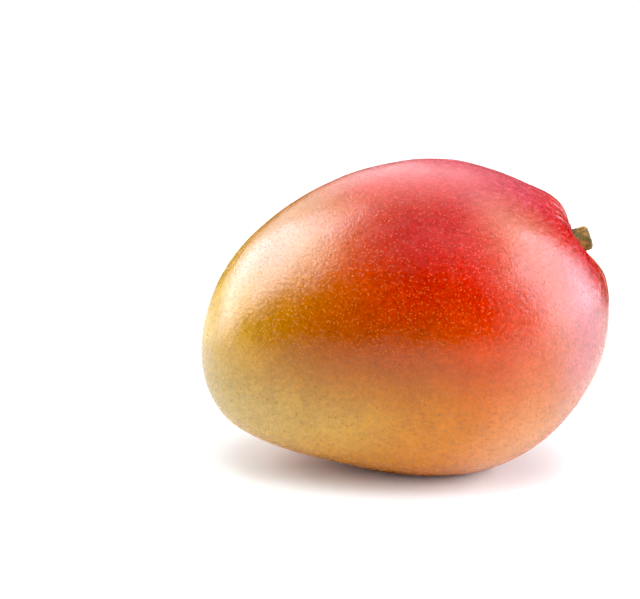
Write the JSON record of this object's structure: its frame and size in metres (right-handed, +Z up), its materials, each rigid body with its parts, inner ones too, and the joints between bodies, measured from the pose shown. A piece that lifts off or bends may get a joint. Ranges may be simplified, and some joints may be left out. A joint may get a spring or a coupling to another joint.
{
  "type": "mango",
  "caption": "Whole ripe mango lying on a small flat spot, a lopsided egg with a shoulder notch at the stem end and a short woody stem stub.",
  "frame": {"origin": "under the middle of the fruit's box, on the surface that it lies on", "axes": "+X along the fruit to its stem end, +Y across the cheeks to the far cheek, +Z up"},
  "size_m": [0.12, 0.0896, 0.0917],
  "materials": {
    "skin": "waxy mango skin, red to orange to ochre, with pale dots, semi-gloss",
    "stem_bark": "dry woody stem, rough"
  },
  "bodies": {
    "root": {"fruit": "skin", "stem_stub": "stem_bark"}
  },
  "joints": []
}
